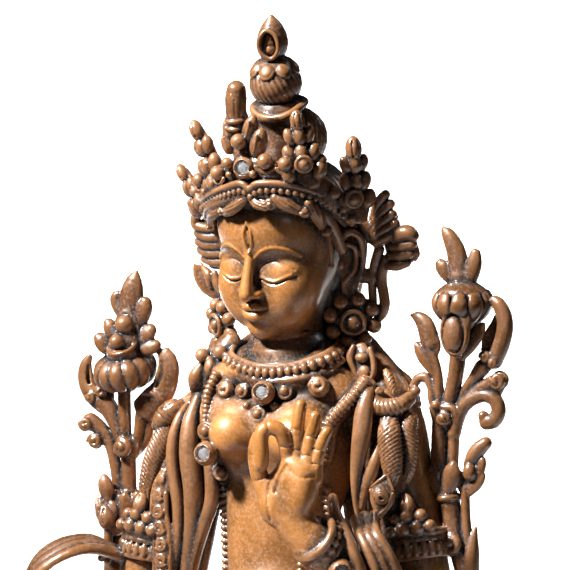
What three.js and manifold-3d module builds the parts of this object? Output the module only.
// A seated Tara, cast in copper alloy, on an oval double lotus plinth, with a lotus spray at each shoulder.
// Millimetres, +Z up. The figure faces -Y and its own left is +X. The origin is the middle of the underside.
import * as THREE from 'three';
import { mergeVertices } from 'three/addons/utils/BufferGeometryUtils.js';
import Module from 'manifold-3d';

const wasm = await Module();
wasm.setup();

// Driving dimensions
const plinthWidth = 214;
const plinthDepth = 158;
const plinthHeight = 48;
const petalCount = 16;
const petalRelief = 5; // how far a petal of the plinth stands proud
const figureHeight = 285; // from the seat to the tip of the finial
const seatGap = 0.3; // between the plinth and what stands on it
const stoneDiameter = 5;
const stoneClearance = 0.3; // all round a stone in its collar
const collarWall = 1.4; // metal round a stone

// A crossing of two carved forms shows no edge finer than this.
const shortestEdge = 1;

// The figure and the sprays are drawn at this height, with z up from the seat, and scaled to figureHeight.
const drawnHeight = 285;
const figureScale = figureHeight / drawnHeight;
// The spine stands behind the middle of the plinth by this share of the plinth's depth.
const spinePlace = 20 / 158;

// Shape tools

const vector = ([x, y, z]) => new THREE.Vector3(x, y, z);

const middle = (ring) => ring.reduce((sum, p) => sum.add(p), new THREE.Vector3()).divideScalar(ring.length);

function meshOf(vertices, faces) {
  const geometry = new THREE.BufferGeometry();
  geometry.setAttribute('position', new THREE.Float32BufferAttribute(vertices.flatMap((p) => [p.x, p.y, p.z]), 3));
  geometry.setIndex(faces);
  return geometry;
}

function volumeOf(geometry) {
  const { position } = geometry.attributes;
  const corner = (i) => new THREE.Vector3().fromBufferAttribute(position, geometry.index.getX(i));
  let volume = 0;
  for (let i = 0; i < geometry.index.count; i += 3) {
    volume += corner(i).dot(corner(i + 1).cross(corner(i + 2))) / 6;
  }
  return volume;
}

// A closed skin over rings that all have as many points; loop joins the last ring to the first.
// The ends close on a point, by default the middle of the end ring.
function loft(rings, { loop = false, ends = [middle(rings[0]), middle(rings.at(-1))] } = {}) {
  const sides = rings[0].length;
  const vertices = rings.flat();
  const faces = [];
  const strips = loop ? rings.length : rings.length - 1;
  for (let r = 0; r < strips; r++) {
    const upper = ((r + 1) % rings.length) * sides;
    for (let s = 0; s < sides; s++) {
      const next = (s + 1) % sides;
      const [a, b, c, d] = [r * sides + s, r * sides + next, upper + next, upper + s];
      faces.push(a, b, c, a, c, d);
    }
  }
  if (!loop) {
    const first = vertices.push(...ends) - 2;
    const top = (rings.length - 1) * sides;
    for (let s = 0; s < sides; s++) {
      const next = (s + 1) % sides;
      faces.push(first, next, s, first + 1, top + s, top + next);
    }
  }
  const geometry = meshOf(vertices, faces);
  if (volumeOf(geometry) < 0) geometry.setIndex(faces.reverse());
  return geometry;
}

// Flesh, stems, folds and leaves: stations [x, y, z, half width, half thickness] along a smooth path.
// The thickness lies along face, as far as the path allows, and each end closes in a low point.
function limb(stations, { sides = 5, face = [0, -1, 0], point = 0.6 } = {}) {
  const path = new THREE.CatmullRomCurve3(stations.map(vector), false, 'centripetal');
  const last = stations.length - 1;
  const outward = vector(face);
  const rings = stations.map(([, , , wide, thick = wide], i) => {
    const share = i / last;
    const tangent = path.getTangent(share);
    const through = outward.clone().addScaledVector(tangent, -outward.dot(tangent)).normalize();
    const across = tangent.clone().cross(through);
    return Array.from({ length: sides }, (_, s) => {
      const turn = ((s + 0.5) * 2 * Math.PI) / sides;
      return path
        .getPoint(share)
        .addScaledVector(across, Math.cos(turn) * wide)
        .addScaledVector(through, Math.sin(turn) * thick);
    });
  });
  const ends = [stations[0], stations[last]].map(([, , , wide, thick = wide], share) =>
    path.getPoint(share).addScaledVector(path.getTangent(share), (share * 2 - 1) * point * thick));
  return loft(rings, { ends });
}

// Hanging folds as one sheet: stations [x, y, z, half width, half thickness] with a ridge in front for each fold.
// The sheet spreads along its station's across direction, which a front view sees.
function pleats(stations, folds, { face = [0, -1, 0] } = {}) {
  const path = new THREE.CatmullRomCurve3(stations.map(vector), false, 'centripetal');
  const outward = vector(face);
  const rings = stations.map(([, , , half, thick], i) => {
    const share = i / (stations.length - 1);
    const tangent = path.getTangent(share);
    const through = outward.clone().addScaledVector(tangent, -outward.dot(tangent)).normalize();
    const across = tangent.clone().cross(through);
    const at = (out, up) => path.getPoint(share).addScaledVector(across, out).addScaledVector(through, up);
    const front = Array.from({ length: folds * 2 + 1 }, (_, s) => at(half * (s / folds - 1), s % 2 ? thick : -thick * 0.1));
    return [...front, at(half * 0.9, -thick), at(-half * 0.9, -thick)];
  });
  return loft(rings);
}

// A bead, ball or rounded mass with its own radius along each axis.
function ball(centre, radius, detail = 0) {
  const radii = Array.isArray(radius) ? radius : [radius, radius, radius];
  return mergedSkin(new THREE.IcosahedronGeometry(1, detail)).scale(...radii).translate(...centre);
}

// A small bead has eight faces.
function bead(centre, radius) {
  const radii = Array.isArray(radius) ? radius : [radius, radius, radius];
  return mergedSkin(new THREE.OctahedronGeometry(1.2)).scale(...radii).translate(...centre);
}

function mergedSkin(geometry) {
  geometry.deleteAttribute('normal');
  geometry.deleteAttribute('uv');
  return mergeVertices(geometry, 1e-5);
}

// A closed band round the z axis of its own frame, with half height and half thickness.
function hoop([reachX, reachY], [high, thick], { segments = 12, lift = () => 0 } = {}) {
  const rings = Array.from({ length: segments }, (_, s) => {
    const turn = (s * 2 * Math.PI) / segments;
    const [c, n] = [Math.cos(turn), Math.sin(turn)];
    const corner = (out, up) => new THREE.Vector3((reachX + out) * c, (reachY + out) * n, up + lift(turn));
    return [corner(thick, 0), corner(0, high), corner(-thick, 0), corner(0, -high)];
  });
  return loft(rings, { loop: true });
}

// Sections [z, half width, front, back, middle x] up a body.
function bodyOf(sections, sides, ends) {
  const rings = sections.map(([z, half, front, back, x = 0]) =>
    Array.from({ length: sides }, (_, s) => {
      const turn = ((s + 0.5) * 2 * Math.PI) / sides;
      const depth = (back + front) / 2 + ((back - front) / 2) * Math.sin(turn);
      return new THREE.Vector3(x + half * Math.cos(turn), depth, z);
    }));
  return loft(rings, { ends });
}

// Where a piece lies: at a point, with its own z axis turned to face a direction.
function facing(at, direction) {
  const turn = new THREE.Quaternion().setFromUnitVectors(new THREE.Vector3(0, 0, 1), vector(direction).normalize());
  return new THREE.Matrix4().compose(vector(at), turn, new THREE.Vector3(1, 1, 1));
}

const mirrored = (stations) => stations.map(([x, ...rest]) => [-x, ...rest]);

function solidOf(geometry) {
  const skin = mergedSkin(geometry);
  const vertProperties = new Float32Array(skin.attributes.position.array);
  const triVerts = new Uint32Array(skin.index.array);
  return new wasm.Manifold(new wasm.Mesh({ numProp: 3, vertProperties, triVerts }));
}

const joined = (geometries) => geometries.map(solidOf).reduce((whole, piece) => whole.add(piece));

const normalOf = ([a, b, c]) => new THREE.Vector3().crossVectors(b.clone().sub(a), c.clone().sub(a));

// Joining leaves short edges where pieces cross. Each one under the limit is drawn together at its middle,
// as long as the skin stays closed round it and no face beside it turns over or thins to a needle.
function withoutShortEdges(points, faces, limit) {
  const around = points.map(() => new Set());
  faces.forEach((face, f) => face.forEach((p) => around[p].add(f)));
  const neighbours = (p) => new Set([...around[p]].flatMap((f) => faces[f]).filter((q) => q !== p));
  const stillGood = (f, moved, place) => {
    const before = normalOf(faces[f].map((p) => points[p]));
    const corners = faces[f].map((p) => (moved.includes(p) ? place : points[p]));
    const after = normalOf(corners);
    const longest = Math.max(...corners.map((p, i) => p.distanceTo(corners[(i + 1) % 3])));
    return after.length() > longest * limit * 0.2 && before.normalize().dot(after.normalize()) > 0.55;
  };
  const drawTogether = (a, b) => {
    const shared = [...around[a]].filter((f) => around[b].has(f));
    const common = [...neighbours(a)].filter((p) => neighbours(b).has(p));
    if (shared.length !== 2 || common.length !== 2) return false;
    const place = points[a].clone().lerp(points[b], 0.5);
    const beside = [...around[a], ...around[b]].filter((f) => !shared.includes(f));
    if (!beside.every((f) => stillGood(f, [a, b], place))) return false;
    shared.forEach((f) => faces[f].forEach((p) => around[p].delete(f)));
    shared.forEach((f) => (faces[f] = null));
    [...around[b]].forEach((f) => {
      faces[f] = faces[f].map((p) => (p === b ? a : p));
      around[a].add(f);
    });
    around[b].clear();
    points[a] = place;
    return true;
  };
  for (let closed = true; closed; ) {
    closed = false;
    const edges = faces.filter(Boolean).flatMap((face) => face.map((p, i) => [p, face[(i + 1) % 3]]));
    const short = edges
      .map(([a, b]) => ({ a, b, length: points[a].distanceTo(points[b]) }))
      .filter(({ a, b, length }) => a < b && length < limit)
      .sort((one, other) => one.length - other.length);
    for (const { a, b } of short) {
      if (around[a].size && around[b].size && drawTogether(a, b)) closed = true;
    }
  }
  return faces.filter(Boolean);
}

function geometryOf(solid, shortest = 0) {
  const { vertProperties, triVerts } = solid.getMesh();
  const points = Array.from({ length: vertProperties.length / 3 }, (_, i) => vector(vertProperties.slice(3 * i, 3 * i + 3)));
  const corners = Array.from({ length: triVerts.length / 3 }, (_, i) => Array.from(triVerts.slice(3 * i, 3 * i + 3)));
  const geometry = mergedSkin(meshOf(points, withoutShortEdges(points, corners, shortest).flat()));
  geometry.computeVertexNormals();
  return geometry;
}

// Head frame: turned a little to the figure's right, and bowed.
const headTurn = [-7, 13, 1.5].map((degrees) => (degrees * Math.PI) / 180);
const headFrame = new THREE.Matrix4()
  .makeTranslation(-0.5, -4, 195)
  .multiply(new THREE.Matrix4().makeRotationZ(headTurn[0]))
  .multiply(new THREE.Matrix4().makeRotationX(headTurn[1]))
  .multiply(new THREE.Matrix4().makeRotationY(headTurn[2]));
const onHead = (geometries) => geometries.map((piece) => piece.applyMatrix4(headFrame));
const headPoint = (at) => vector(at).applyMatrix4(headFrame).toArray();

// Where each clear stone sits, and which way it looks.
const settings = {
  crown_stone: { at: headPoint([3.2, -25.5, 40.8]), direction: [0.08, -1, 0.05] },
  choker_stone: { at: [0.9, -25.5, 145.8], direction: [0.1, -1, 0.25] },
  necklace_stone: { at: [-20.4, -30.5, 122.7], direction: [0.05, -1, 0.1] },
  bracelet_stone: { at: [42.5, -44.5, 82.8], direction: [0.6, -0.78, -0.15] },
};
const stoneRadius = stoneDiameter / 2;
const recessRadius = (stoneRadius + stoneClearance) / figureScale;
const collarRadius = recessRadius + collarWall;
const recessDepth = stoneDiameter * 0.6 + stoneClearance;
const collarDepth = 7;

// A stone collar is a short round post behind the stone; the recess is cut into its front.
function post({ at, direction }, radius, front, back) {
  const depth = front + back;
  const shape = mergedSkin(new THREE.CylinderGeometry(radius, radius, depth, 8));
  shape.rotateX(Math.PI / 2).translate(0, 0, (front - back) / 2);
  return shape.applyMatrix4(facing(at, direction));
}

// Body

function torso() {
  const sections = [
    [0, 40, -25, 29], [38, 31, -22, 20], [56, 24, -21.5, 13, -1], [76, 20, -20.5, 10, -2], [98, 22, -21, 11.5, -1],
    [117, 27, -20, 16.5], [137, 32, -19.5, 19], [154, 16, -13, 13], [184, 12.5, -14, 10, -1],
  ];
  const breasts = [-12.5, 12.5].map((x) =>
    limb([[x, -12, 131, 12.5], [x, -20, 130, 11.5], [x, -26, 129, 7.5]], { sides: 6, face: [0, 0, 1], point: 0.3 }));
  return [bodyOf(sections, 10), ...breasts];
}

function arms() {
  const rightArm = [
    [-30, 3, 142, 11], [-38, 3, 137, 12.5], [-47, 2, 112, 12.5], [-56, -1, 84, 11.5], [-62.5, -3, 62, 10.5],
    [-68, -26, 49, 9.5], [-71, -51, 37, 7],
  ];
  const leftArm = [
    [30, 4, 142, 11], [38, 4, 137, 12.5], [46, 3, 112, 12.5], [51, 2, 88, 12], [56, 0, 61, 10.5],
    [46, -22, 74, 9.5], [33.5, -44, 93, 7],
  ];
  return [rightArm, leftArm].map((stations) => limb(stations, { sides: 6, face: [0.3, -1, 0.6] }));
}

const finger = (stations, face) => limb(stations, { sides: 4, face, point: 0.8 });

function raisedHand() {
  const palm = [
    [34, -43.5, 92, 7.5, 6], [28.5, -46, 102, 9.5, 6], [25, -46.5, 114, 11.2, 5], [25.6, -45.8, 125, 10, 4.2],
  ];
  const out = [0.26, -0.97, 0];
  return [
    limb(palm, { sides: 6, face: out }),
    finger([[24.5, -45.5, 122, 3.8], [25.2, -44, 144.5, 2.8]], out),
    finger([[29.2, -44.8, 120, 3.8], [30.3, -43.5, 140.5, 2.8]], out),
    finger([[33, -43.8, 117, 3.6], [35.2, -42, 135, 2.6]], out),
    finger([[19.5, -46, 122, 3.7], [17.5, -48, 135.5, 3.2], [11.5, -50.5, 132.5, 2.9], [9.5, -51, 126, 2.5]], [1, 0, 0]),
    finger([[20, -47, 100, 5], [11, -48.5, 104, 3.9], [8.2, -50, 116, 3.2], [8.9, -51, 128, 2.5]], [0.5, -1, 0]),
  ];
}

function openHand() {
  const out = [-0.1, -1, 0.12];
  const palm = [[-71, -52, 40, 7, 6], [-70.6, -58.5, 30, 10, 5], [-70, -60.5, 18, 10.5, 4.5]];
  const tips = [[-77.5, 4.5, 3.1], [-72.6, 2, 3.4], [-67.6, 1.5, 3.4], [-62.8, 4, 3.1]];
  return [
    limb(palm, { sides: 6, face: out }),
    ...tips.map(([x, low, girth]) => finger([[x, -60.8, 20, girth], [x + 1, -63.6, low, 2.6]], out)),
    finger([[-66, -56, 34, 4], [-59.5, -60, 27, 3.2], [-58, -62.5, 18, 2.4]], out),
  ];
}

// Crossed legs with both soles up, on a low bed of skirt cloth.
function legs() {
  const thigh = [[-24, 6, 19, 20], [-40, -6, 19, 19.5], [-58, -18, 18, 17], [-83, -37, 14.5, 13]];
  const rightShin = [[-82, -38, 14, 12.5], [-60, -52, 14, 12], [-36, -62, 15, 10.5], [8, -60, 26, 7.5]];
  const leftShin = [[82, -37, 14, 12.5], [62, -52, 13, 12], [38, -63, 12, 10.5], [-6, -56, 17, 7.5]];
  const rightFoot = [[6, -60, 28, 7, 6.5], [26, -57, 34, 7.5, 5], [46, -50, 37, 7, 3.2]];
  const leftFoot = [[-6, -61, 24, 7, 6.5], [-26, -60, 30, 7.5, 5], [-46, -54, 33, 7, 3.2]];
  const bed = [[0, 90, -67, 31], [7, 88, -66, 30]];
  const up = [0, 0, 1];
  return [
    bodyOf(bed, 10),
    ...[thigh, mirrored(thigh)].map((stations) => limb(stations, { sides: 6, face: up })),
    ...[rightShin, leftShin].map((stations) => limb(stations, { sides: 6, face: up })),
    ...[rightFoot, leftFoot].map((stations) => limb(stations, { face: [0, -0.3, 1] })),
  ];
}

// Dress and jewellery below the head

function skirt() {
  const fan = [[0, -56, 14, 12, 4.5], [0, -66, 10, 19, 4.5], [0, -71.5, 0.5, 28, 5]];
  const belt = hoop([32, 22], [4.5, 3.2], { segments: 10 }).translate(0, -0.5, 37);
  return [pleats(fan, 5), belt, ball([0, -25, 37], [6, 4, 6])];
}

function shawl() {
  const right = [
    [-36, -7, 150, 9, 5], [-40.5, -10.5, 120, 11.5, 5], [-42.5, -11, 86, 12.5, 5], [-50, -8, 60, 11, 5],
  ];
  const left = [[37, -6, 150, 9, 5], [41.5, -10.5, 126, 12, 5], [42.5, -12.5, 98, 11, 5], [44, -13, 70, 8, 5]];
  const forearm = [[46, -40, 83, 5, 3.5], [55, -29, 84, 9, 4.5], [60, -18, 62, 10, 5], [60, -25, 28, 9, 4.5]];
  const across = [[-42, 10, 136, 8, 4], [-22, 19, 130, 9, 4], [22, 19, 130, 9, 4], [42, 10, 136, 8, 4]];
  const flare = [
    [-60, 4, 66, 6, 4], [-72, -6, 78, 8, 3.5], [-84, -18, 84, 9, 3], [-97, -22, 74, 8, 2.5], [-100, -22, 56, 6, 2.5],
  ];
  return [
    pleats(right, 3),
    pleats(left, 3),
    pleats(forearm, 3, { face: [0.3, -1, 0.3] }),
    limb(across, { sides: 4, face: [0, 1, 0] }),
    limb(flare, { sides: 4, face: [-0.3, -0.5, 1] }),
    ball([-30, 6, 142], [13, 15, 10]),
    ball([30, 6, 142], [13, 15, 10]),
  ];
}

function armlets() {
  const place = [
    { at: [-56, -1, 85], along: [-0.28, -0.1, -0.95], look: [-0.2, -1, 0] },
    { at: [51.3, 1.5, 87], along: [0.2, -0.05, -0.98], look: [0.35, -1, 0] },
  ];
  return place.flatMap(({ at, along, look }) => {
    const band = hoop([12.5, 12.5], [5.5, 2.8], { segments: 8 }).applyMatrix4(facing(at, along));
    const front = vector(look).normalize();
    const crestAt = (out, up) => vector(at).addScaledVector(front, out).add(vector([0, 0, up])).toArray();
    const crest = [[...crestAt(12, 1), 9, 3.5], [...crestAt(12.5, 7), 6.5, 3.5], [...crestAt(12, 14), 2.5, 2.5]];
    return [band, limb(crest, { sides: 6, face: look })];
  });
}

function bracelets() {
  const wrists = [
    { at: [-70.5, -47, 39.5], along: [-0.1, -0.9, -0.42] },
    { at: [36.5, -39, 88.5], along: [-0.45, -0.72, 0.52] },
  ];
  return wrists.map(({ at, along }) => hoop([9.2, 9.2], [4.2, 2.4], { segments: 8 }).applyMatrix4(facing(at, along)));
}

function necklaces() {
  const choker = [
    [-17, -8, 157, 2.6], [-11, -15.5, 150, 3], [0, -19.5, 147.5, 3], [13, -17, 150, 3], [22, -10.5, 156, 2.6],
  ];
  const longStrand = [
    [-25, -10, 151, 2.4], [-28, -18, 140, 2.4], [-24.5, -28.5, 124, 2.8], [-21, -22.5, 106, 2.4], [-19.5, -21.5, 84, 2.4],
    [-11, -25.5, 62, 2.4], [4, -26, 57, 2.4], [16, -23, 68, 2.4], [20, -21.5, 94, 2.4], [26, -26, 130, 2.4],
    [31, -10.5, 150, 2.4],
  ];
  const pendants = [[-9.5, -19.5, 144.5, 3.4], [8, -21.5, 144.5, 3.2], [17, -17, 147, 3.6], [-0.5, -22, 138, 2.6]];
  return [
    limb(choker, { sides: 4 }),
    limb(longStrand, { sides: 4, face: [0.2, -1, 0.2] }),
    ...pendants.map(([x, y, z, r]) => bead([x, y, z], [r, r + 1.4, r])),
    bead([-24.5, -26, 130], [3.2, 4.5, 3]),
    bead([-22.5, -25, 114.5], [3.4, 4.5, 3.4]),
    ...Object.values(settings).map((setting) => post(setting, collarRadius, 0.8, collarDepth)),
  ];
}

// Head, hair and crown

function head() {
  const sections = [
    [-27, 5.5, -17, -6], [-22, 12, -20.5, 4], [-14, 17.5, -22.2, 14], [-5, 20.5, -23, 23],
    [6, 23.5, -23.8, 30], [18, 25, -22.8, 31.5], [29, 17, -12, 24],
  ];
  const nose = [[0, -24, 6.5, 1.3, 1.5], [0, -27.2, -7, 3.6, 3.2]];
  const brows = [-1, 1].map((side) =>
    limb([[side * 2.6, -24.3, 6, 0.9], [side * 8.5, -22.9, 9, 0.9], [side * 15, -18.6, 6, 0.8]], { sides: 3 }));
  const ears = [-1, 1].map((side) =>
    limb([[side * 25, 3, 8, 4.4, 2.8], [side * 27, 4, 0, 4.4, 2.8], [side * 25.5, 2, -16, 2.4, 2]], { face: [side, -0.3, 0] }));
  return [
    bodyOf(sections, 11),
    limb(nose, { point: 0.3 }),
    bead([0, -22.8, -14.6], [5, 2.2, 2]),
    ball([0, -18.2, -22.4], [5.5, 5, 4.6]),
    ...[-8.6, 8.6].map((x) => ball([x, -20.6, 0.5], [5.2, 2.4, 2.6])),
    ...brows,
    ...ears,
  ];
}

// A rosette of round petals, with a tulip drop and two beads under it.
function earrings() {
  const petals = 7;
  return [-1, 1].flatMap((side) => {
    const rim = (reach, depth) => Array.from({ length: petals * 2 }, (_, i) => {
      const turn = (i * Math.PI) / petals;
      const out = i % 2 ? reach * 0.72 : reach;
      return new THREE.Vector3(Math.cos(turn) * out, Math.sin(turn) * out, depth);
    });
    const rosette = loft([rim(9, -2.5), rim(9.8, 1), rim(5.5, 3)], { ends: [-3, 5].map((z) => new THREE.Vector3(0, 0, z)) });
    const centre = [side * 27, 1, -23];
    const drops = [[-3.5, -34.5], [3.5, -35.5]].map(([y, z]) => bead([side * 27, y, z], 3));
    const tulip = [[side * 27.5, 1, -32, 2.6], [side * 28.5, 1, -41, 4], [side * 28.5, 1, -46, 2]];
    return [rosette.applyMatrix4(facing(centre, [side * 0.9, -0.44, 0])), ...drops, limb(tulip)];
  });
}

function hair() {
  const fringe = [
    [-24, -3, 3, 2.6], [-20.5, -14, 14.5, 2.8], [-11, -22, 23, 2.8], [0, -24.2, 26.2, 2.8], [11, -22, 23, 2.8],
    [20.5, -14, 14.5, 2.8], [24, -3, 3, 2.6],
  ];
  const tresses = [
    [[24, 8, 176, 6.5], [33, 4, 162, 6.5], [42, -4, 143, 6.5, 5], [46, -8.5, 128, 5, 3.6], [48, -9.5, 112, 3.4, 3]],
    [[30, 10, 168, 5], [42, 6, 153, 6], [50, -1, 134, 4, 3.4], [54.5, -4, 113, 2.8, 2.6]],
    [[-26, 8, 174, 6.5], [-35, 3, 156, 6.5], [-43.5, -3, 138, 6, 5], [-47.5, -8, 126, 5, 3.6], [-54, -10, 104, 3, 2.8]],
  ];
  const back = [[0, 20, 206, 16, 9], [0, 24, 152, 17, 7], [0, 23.5, 122, 12, 4.5]];
  return [
    ...onHead([limb(fringe, { sides: 4 })]),
    ...tresses.map((stations) => limb(stations, { sides: 4 })),
    limb(back, { face: [0, 1, 0] }),
  ];
}

// A crown leaf: a flat spindle whose edges swell and draw in like stacked beads, with a pointed bud on top.
function crownLeaf({ base, tip, half, look }) {
  const [foot, point] = [vector(base), vector(tip)];
  const tiers = [[-0.15, 0.9], [0.08, 1.35], [0.22, 1], [0.36, 1.1], [0.56, 0.62], [0.66, 0.68], [0.84, 0.4]];
  const stations = tiers.map(([share, spread]) =>
    [...foot.clone().lerp(point, share).toArray(), half * spread, half * Math.min(0.62, spread * 0.6)]);
  return limb(stations, { sides: 4, face: look, point: 2.6 });
}

const crownLeaves = [
  { base: [3, -22.5, 36], tip: [-1.5, -18, 71.5], half: 5.6, look: [0, -1, 0] },
  { base: [22.5, -16, 35], tip: [22, -14, 62.5], half: 6.8, look: [0.7, -0.7, 0] },
  { base: [-15, -18, 29], tip: [-22.5, -16, 54.5], half: 6.4, look: [-0.6, -0.8, 0] },
  { base: [31, 0, 19], tip: [34, 2, 47], half: 6.8, look: [1, -0.3, 0] },
  { base: [-28, -5, 17], tip: [-37.5, -3, 33.5], half: 6, look: [-1, -0.3, 0] },
];

function crown() {
  const rise = (turn) => -9 * Math.sin(turn);
  const band = hoop([27, 26], [4.4, 3.4], { segments: 11, lift: rise }).translate(1, 2, 21);
  return [band, ...crownLeaves.map(crownLeaf)];
}

// The chignon: a vase of hair with side lobes, a tie, a twisted ball under petals, and a flame-drop finial.
function chignon() {
  const vase = [
    [28, 19, -12, 24], [38, 15, -8, 20], [50, 8.5, -3, 13.5], [54.5, 12, -6.5, 17],
    [57, 9, -3.5, 14], [63, 11.2, -5.5, 16], [69.5, 10.5, -5, 15.5], [74, 4, 1.5, 9.5], [81, 5.8, 1, 10],
  ];
  const ends = [new THREE.Vector3(0.5, 5, 20), new THREE.Vector3(0.5, 6, 91)];
  const lobes = [-13.5, 14.5].map((x) => ball([x, 8, 45.5], [5, 6.5, 8]));
  return [bodyOf(vase, 8, ends), ...lobes];
}

// Pleated ribbons tied beside the ears, with a loop and a long tail on the figure's left.
function ribbons() {
  const leftFan = [[30, 6, 7, 3, 5], [38, 8, 14, 2.4, 8.5], [42.5, 8, 15, 2.2, 9]];
  const loop = [[42, 8, 8, 2.8], [50, 8, 9, 2.8], [53, 8, 4, 2.8], [45, 8, -3.5, 2.8]];
  const leftTail = [[34, 7, 5, 3.4, 2.6], [36.4, 8, -3, 3.4, 2.4], [37, 8, -15, 3.2, 2.4], [33, 5, -28, 2.6, 2.4]];
  const rightFan = [[-28, 5, 12, 5, 3], [-40, 6, 10, 5, 3], [-40.5, 6, -5, 4.5, 3], [-35, 5, -20, 2.6, 2.2]];
  return [
    limb(leftFan, { sides: 4, face: [0, 0, 1] }),
    limb(loop, { sides: 4 }),
    limb(leftTail, { sides: 4 }),
    limb(rightFan, { sides: 4 }),
  ];
}

// What stands on the plinth is cut off flat there.
function standingFlat(solid) {
  const span = 2 * drawnHeight;
  return solid.subtract(solidOf(new THREE.BoxGeometry(span, span, span).translate(0, 0, -span / 2)));
}

// Everything of the figure, flat underneath and opened for its stones.
function taraFigure() {
  const flesh = [...torso(), ...arms(), ...raisedHand(), ...openHand(), ...legs()];
  const dress = [...skirt(), ...shawl(), ...armlets(), ...bracelets(), ...necklaces()];
  const top = onHead([...head(), ...earrings(), ...crown(), ...chignon(), ...ribbons()]);
  const whole = joined([...flesh, ...dress, ...hair(), ...top]);
  const recesses = joined(Object.values(settings).map((setting) => post(setting, recessRadius, 3, recessDepth)));
  return geometryOf(solidOf(geometryOf(standingFlat(whole), shortestEdge)).subtract(recesses));
}

// Lotus sprays

// A pointed bud from one place to another, fullest a little below the middle.
function bud(from, to, girth) {
  const waist = from.map((value, i) => value + (to[i] - value) * 0.42);
  return limb([[...from, girth * 0.5], [...waist, girth], [...to, girth * 0.3]], { sides: 4 });
}

function rightSpray() {
  const y = 5;
  const stem = [
    [-66, 20, -3, 4.4], [-74, 17, 34, 3.4], [-78, 9, 62, 3.4], [-75, y + 1, 88, 4.6], [-71, y, 100, 3.6],
    [-69.8, y, 122, 3.2], [-69.5, y, 148, 3],
  ];
  const leftBranch = [[-70, y, 116, 2.6], [-75, y, 128, 3, 2.4], [-84, y, 140, 3.6, 2.4], [-87, y, 153, 1.6]];
  const curl = [[-71, y, 96, 2.4], [-73, y, 112, 2.6], [-80, y, 124, 3, 2.6], [-86, y, 127, 3]];
  const rightBranch = [[-69, y, 116, 2.6], [-64, y, 130, 3, 2.6], [-56, y + 1, 146, 5, 3.4], [-51, y + 1, 156, 2.4]];
  const lobes = 10;
  const rim = (reach, z) => Array.from({ length: lobes * 2 }, (_, i) => {
    const turn = (i * Math.PI) / lobes;
    const out = i % 2 ? reach * 0.86 : reach;
    return new THREE.Vector3(-69.5 + Math.cos(turn) * out, y + Math.sin(turn) * out, z);
  });
  return [
    limb(stem),
    limb(leftBranch, { sides: 4 }),
    limb(curl, { sides: 4 }),
    limb(rightBranch),
    ball([-69.8, y - 2, 122], [4.4, 4, 4.4]),
    loft([rim(9, 146.5), rim(12.4, 149), rim(11, 154), rim(5, 157)]),
    bodyOf([[155, 6, y - 6, y + 6, -69.5], [159, 8, y - 8, y + 8, -69.5], [162, 6, y - 6, y + 6, -69.5]], 6),
    ball([-69.8, y, 166], [4.4, 4.4, 5.2]),
    bud([-67.5, y, 166], [-66.4, y, 188], 3.4),
    bud([-72.5, y, 159], [-75, y, 177], 3),
    bud([-65, y, 159], [-62, y, 174], 3),
    bud([-75, y - 3, 84], [-80, y - 5, 103], 3),
  ];
}

function leftSpray() {
  const y = 3;
  const stem = [
    [66, 22, -3, 4.4], [69, 15, 34, 3.6], [71.5, 7, 64, 3.8], [71.5, y, 86, 4.4], [68.2, y, 110, 4.4],
    [64.8, y, 138, 3.6], [69, y, 162, 3.2], [69.8, y, 174, 4],
  ];
  const curledLeaf = [
    [67, y, 112, 2.6], [75, y, 138, 3.4], [85, y, 154, 4, 3], [90, y, 168, 3.4, 2.8], [86.5, y, 177, 2],
  ];
  const leftLeaf = [[65, y, 140, 2.6], [58, y, 156, 3.2, 2.4], [52, y, 173, 1.8]];
  const sprig = [[72, y, 74, 2.8], [76.5, y, 104, 2.6], [79, y, 124, 3]];
  const curl = [[73, y, 130, 2.4], [82, y, 146, 3], [87, y, 141, 3]];
  const cup = [
    [168, 4, y - 4, y + 4, 69.6], [173, 9, y - 8, y + 8, 69.8], [179, 12.2, y - 11, y + 11, 69.8], [185, 8, y - 7, y + 7, 69.8],
  ];
  return [
    limb(stem),
    limb(curledLeaf),
    limb(leftLeaf, { sides: 4 }),
    limb(sprig, { sides: 4 }),
    limb(curl, { sides: 4 }),
    ball([72.5, y - 1.5, 85.5], [5.6, 4.4, 5.6]),
    ball([64.5, y - 2, 137.5], [4.8, 4.2, 4.8]),
    bodyOf(cup, 8),
    limb([[69, y - 8.5, 181, 4.5, 3], [69, y - 11, 173, 5.6, 3], [68.6, y - 9, 165, 3, 2.4]], { sides: 5 }),
    bud([66.5, y, 184], [64.5, y, 206], 3.6),
    bud([71, y, 184], [73.5, y, 196], 3.2),
    bud([77.5, y, 118], [84, y, 129], 3.2),
  ];
}

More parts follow.
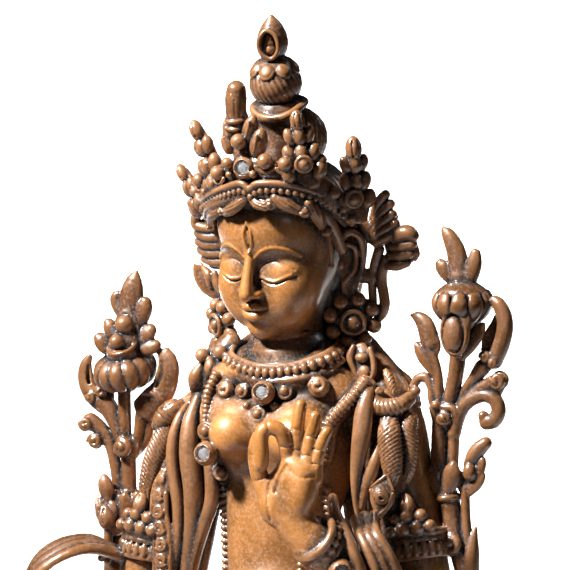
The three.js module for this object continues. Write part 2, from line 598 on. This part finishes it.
// An oval plinth: two rows of lotus petals, points down and points up, round a waist.
function plinth() {
  const perPetal = 4;
  const around = petalCount * perPetal;
  // Level: share of the height, how far the wall stands back, petal fullness, petal width, points up or down.
  const levels = [
    [0, 0, 0, 1], [0.08, 0, 0, 1], [0.12, 5.5, 1, 0.35], [0.26, 5.6, 1, 0.9], [0.5, 12.5, 0, 1],
    [0.74, 6, 1, 0.9], [0.88, 4.5, 1, 0.35], [0.92, 7, 0, 1], [1, 7, 0, 1],
  ];
  const rings = levels.map(([share, back, full, width]) =>
    Array.from({ length: around }, (_, i) => {
      const turn = (i * 2 * Math.PI) / around;
      const phase = Math.abs((((i + perPetal / 2) % perPetal) - perPetal / 2) / (perPetal / 2));
      const bulge = phase < width ? full * petalRelief * Math.sqrt(1 - (phase / width) ** 2) : 0;
      const out = -back + bulge * 0.75;
      return new THREE.Vector3(
        (plinthWidth / 2 + out) * Math.cos(turn), (plinthDepth / 2 + out) * Math.sin(turn), share * plinthHeight);
    }));
  return loft(rings);
}

// A round cut stone: flat table, sloping crown, girdle, and a cone below.
function stone() {
  const profile = [[0, -0.95], [1, 0], [0.62, 0.42], [0, 0.42]];
  const points = profile.map(([out, up]) => new THREE.Vector2(out * stoneRadius, up * stoneRadius));
  return mergedSkin(new THREE.LatheGeometry(points, 8).rotateX(Math.PI / 2));
}

// Scene graph

const bronze = (color) => new THREE.MeshStandardMaterial({ color, roughness: 0.38, metalness: 0.75, flatShading: true });
const crystal = new THREE.MeshStandardMaterial({ color: 0xe9eef2, roughness: 0.05, metalness: 0, transparent: true, opacity: 0.55 });

function part(name, geometry, material) {
  const mesh = new THREE.Mesh(geometry, material);
  mesh.name = name;
  return mesh;
}

const standing = new THREE.Group();
standing.scale.setScalar(figureScale);
standing.position.set(0, spinePlace * plinthDepth, plinthHeight + seatGap);
standing.add(part('tara_figure', taraFigure(), bronze(0x8a5a34)));
standing.add(part('right_lotus_spray', geometryOf(standingFlat(joined(rightSpray())), shortestEdge), bronze(0x93663f)));
standing.add(part('left_lotus_spray', geometryOf(standingFlat(joined(leftSpray())), shortestEdge), bronze(0x93663f)));
for (const [name, { at, direction }] of Object.entries(settings)) {
  const gem = part(name, stone(), crystal);
  gem.applyMatrix4(facing(at, direction));
  gem.scale.setScalar(1 / figureScale);
  standing.add(gem);
}

const statue = new THREE.Group();
statue.name = 'tara_statue';
statue.add(part('lotus_plinth', plinth(), bronze(0x7d5232)));
statue.add(standing);

export default statue;
